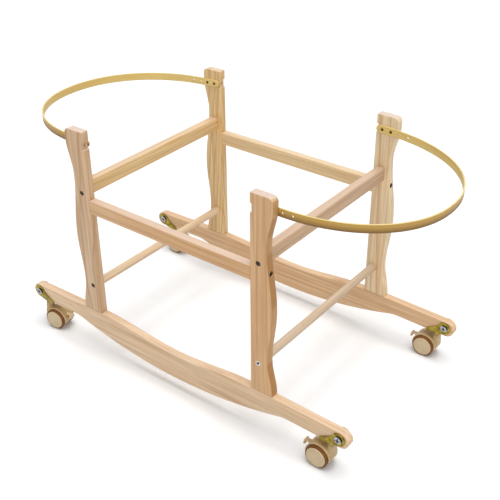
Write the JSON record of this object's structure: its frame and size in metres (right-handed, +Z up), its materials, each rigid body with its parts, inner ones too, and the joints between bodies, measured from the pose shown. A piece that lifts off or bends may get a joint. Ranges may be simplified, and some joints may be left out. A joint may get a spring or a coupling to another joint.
{
  "type": "moses basket rocking stand",
  "caption": "Wooden rocking stand for a moses basket: pine posts on curved rockers, rails, bent steadying hoops and fold-away twin-wheel casters.",
  "frame": {"origin": "on the floor under the middle of the stand, between the four casters as they stand folded down", "axes": "+X along the rockers to the right, +Y across the stand to the far rocker, +Z up; lengths in metres"},
  "size_m": [0.9672, 0.4778, 0.5403],
  "materials": {
    "pine": "unfinished planed pine",
    "pale_wood": "unfinished turned softwood",
    "hoop": "bent laminated strip, satin",
    "bolt": "zinc plated",
    "pivot_bolt": "bright plated",
    "bracket": "yellow zinc plated sheet",
    "hood": "moulded nylon, satin",
    "hubcap": "moulded nylon, satin",
    "tyre": "brown soft tread"
  },
  "bodies": {
    "frame": {"rocker_near": "pine", "rocker_far": "pine", "rail_long_near": "pine", "rail_long_far": "pine", "rail_cross_left": "pine", "rail_cross_right": "pine", "dowel_left": "pale_wood", "dowel_right": "pale_wood", "hoop_left": "hoop", "hoop_right": "hoop", "post_near_left": "pine", "bolt_cross_near_left": "bolt", "bolt_dowel_near_left": "bolt", "bolt_rail_near_left": "bolt", "bolt_pivot_near_left": "pivot_bolt", "post_near_right": "pine", "bolt_cross_near_right": "bolt", "bolt_dowel_near_right": "bolt", "bolt_rail_near_right": "bolt", "bolt_pivot_near_right": "pivot_bolt", "post_far_left": "pine", "bolt_cross_far_left": "bolt", "bolt_dowel_far_left": "bolt", "bolt_rail_far_left": "bolt", "bolt_pivot_far_left": "pivot_bolt", "post_far_right": "pine", "bolt_cross_far_right": "bolt", "bolt_dowel_far_right": "bolt", "bolt_rail_far_right": "bolt", "bolt_pivot_far_right": "pivot_bolt"},
    "bracket_near_left": {"bracket_near_left": "bracket"},
    "hood_near_left": {"hood_near_left": "hood"},
    "wheel_out_near_left": {"tyre_out_near_left": "tyre", "hub_out_near_left": "hubcap"},
    "wheel_in_near_left": {"tyre_in_near_left": "tyre", "hub_in_near_left": "hubcap"},
    "pedal_near_left": {"pedal_near_left": "hood"},
    "bracket_near_right": {"bracket_near_right": "bracket"},
    "hood_near_right": {"hood_near_right": "hood"},
    "wheel_out_near_right": {"tyre_out_near_right": "tyre", "hub_out_near_right": "hubcap"},
    "wheel_in_near_right": {"tyre_in_near_right": "tyre", "hub_in_near_right": "hubcap"},
    "pedal_near_right": {"pedal_near_right": "hood"},
    "bracket_far_left": {"bracket_far_left": "bracket"},
    "hood_far_left": {"hood_far_left": "hood"},
    "wheel_out_far_left": {"tyre_out_far_left": "tyre", "hub_out_far_left": "hubcap"},
    "wheel_in_far_left": {"tyre_in_far_left": "tyre", "hub_in_far_left": "hubcap"},
    "pedal_far_left": {"pedal_far_left": "hood"},
    "bracket_far_right": {"bracket_far_right": "bracket"},
    "hood_far_right": {"hood_far_right": "hood"},
    "wheel_out_far_right": {"tyre_out_far_right": "tyre", "hub_out_far_right": "hubcap"},
    "wheel_in_far_right": {"tyre_in_far_right": "tyre", "hub_in_far_right": "hubcap"},
    "pedal_far_right": {"pedal_far_right": "hood"}
  },
  "joints": [
    {"name": "fold_near_left", "type": "hinge", "parent": "frame", "child": "bracket_near_left", "pos_m": [-0.413, -0.216, 0.0868], "axis": [0, 1, 0], "range_deg": [0, 210]},
    {"name": "swivel_near_left", "type": "hinge", "parent": "bracket_near_left", "child": "hood_near_left", "pos_m": [-0.395, -0.216, 0.0644], "axis": [0, 0, 1], "continuous": true},
    {"name": "roll_out_near_left", "type": "hinge", "parent": "hood_near_left", "child": "wheel_out_near_left", "pos_m": [-0.37129, -0.21225, 0.025], "axis": [-0.1564, 0.9877, 0], "continuous": true},
    {"name": "roll_in_near_left", "type": "hinge", "parent": "hood_near_left", "child": "wheel_in_near_left", "pos_m": [-0.37129, -0.21225, 0.025], "axis": [-0.1564, 0.9877, 0], "continuous": true},
    {"name": "brake_near_left", "type": "hinge", "parent": "hood_near_left", "child": "pedal_near_left", "pos_m": [-0.35208, -0.2092, 0.03764], "axis": [-0.1564, 0.9877, 0], "range_deg": [0, 12]},
    {"name": "fold_near_right", "type": "hinge", "parent": "frame", "child": "bracket_near_right", "pos_m": [0.413, -0.216, 0.0868], "axis": [0, -1, 0], "range_deg": [0, 210]},
    {"name": "swivel_near_right", "type": "hinge", "parent": "bracket_near_right", "child": "hood_near_right", "pos_m": [0.395, -0.216, 0.0644], "axis": [0, 0, 1], "continuous": true},
    {"name": "roll_out_near_right", "type": "hinge", "parent": "hood_near_right", "child": "wheel_out_near_right", "pos_m": [0.371, -0.216, 0.025], "axis": [0, 1, 0], "continuous": true},
    {"name": "roll_in_near_right", "type": "hinge", "parent": "hood_near_right", "child": "wheel_in_near_right", "pos_m": [0.371, -0.216, 0.025], "axis": [0, 1, 0], "continuous": true},
    {"name": "brake_near_right", "type": "hinge", "parent": "hood_near_right", "child": "pedal_near_right", "pos_m": [0.35154, -0.216, 0.03764], "axis": [0, -1, 0], "range_deg": [0, 12]},
    {"name": "fold_far_left", "type": "hinge", "parent": "frame", "child": "bracket_far_left", "pos_m": [-0.413, 0.216, 0.0868], "axis": [0, 1, 0], "range_deg": [0, 210]},
    {"name": "swivel_far_left", "type": "hinge", "parent": "bracket_far_left", "child": "hood_far_left", "pos_m": [-0.395, 0.216, 0.0644], "axis": [0, 0, 1], "continuous": true},
    {"name": "roll_out_far_left", "type": "hinge", "parent": "hood_far_left", "child": "wheel_out_far_left", "pos_m": [-0.371, 0.216, 0.025], "axis": [0, 1, 0], "continuous": true},
    {"name": "roll_in_far_left", "type": "hinge", "parent": "hood_far_left", "child": "wheel_in_far_left", "pos_m": [-0.371, 0.216, 0.025], "axis": [0, 1, 0], "continuous": true},
    {"name": "brake_far_left", "type": "hinge", "parent": "hood_far_left", "child": "pedal_far_left", "pos_m": [-0.35154, 0.216, 0.03764], "axis": [0, 1, 0], "range_deg": [0, 12]},
    {"name": "fold_far_right", "type": "hinge", "parent": "frame", "child": "bracket_far_right", "pos_m": [0.413, 0.216, 0.0868], "axis": [0, -1, 0], "range_deg": [0, 210]},
    {"name": "swivel_far_right", "type": "hinge", "parent": "bracket_far_right", "child": "hood_far_right", "pos_m": [0.395, 0.216, 0.0644], "axis": [0, 0, 1], "continuous": true},
    {"name": "roll_out_far_right", "type": "hinge", "parent": "hood_far_right", "child": "wheel_out_far_right", "pos_m": [0.371, 0.216, 0.025], "axis": [0, 1, 0], "continuous": true},
    {"name": "roll_in_far_right", "type": "hinge", "parent": "hood_far_right", "child": "wheel_in_far_right", "pos_m": [0.371, 0.216, 0.025], "axis": [0, 1, 0], "continuous": true},
    {"name": "brake_far_right", "type": "hinge", "parent": "hood_far_right", "child": "pedal_far_right", "pos_m": [0.35154, 0.216, 0.03764], "axis": [0, -1, 0], "range_deg": [0, 12]}
  ]
}
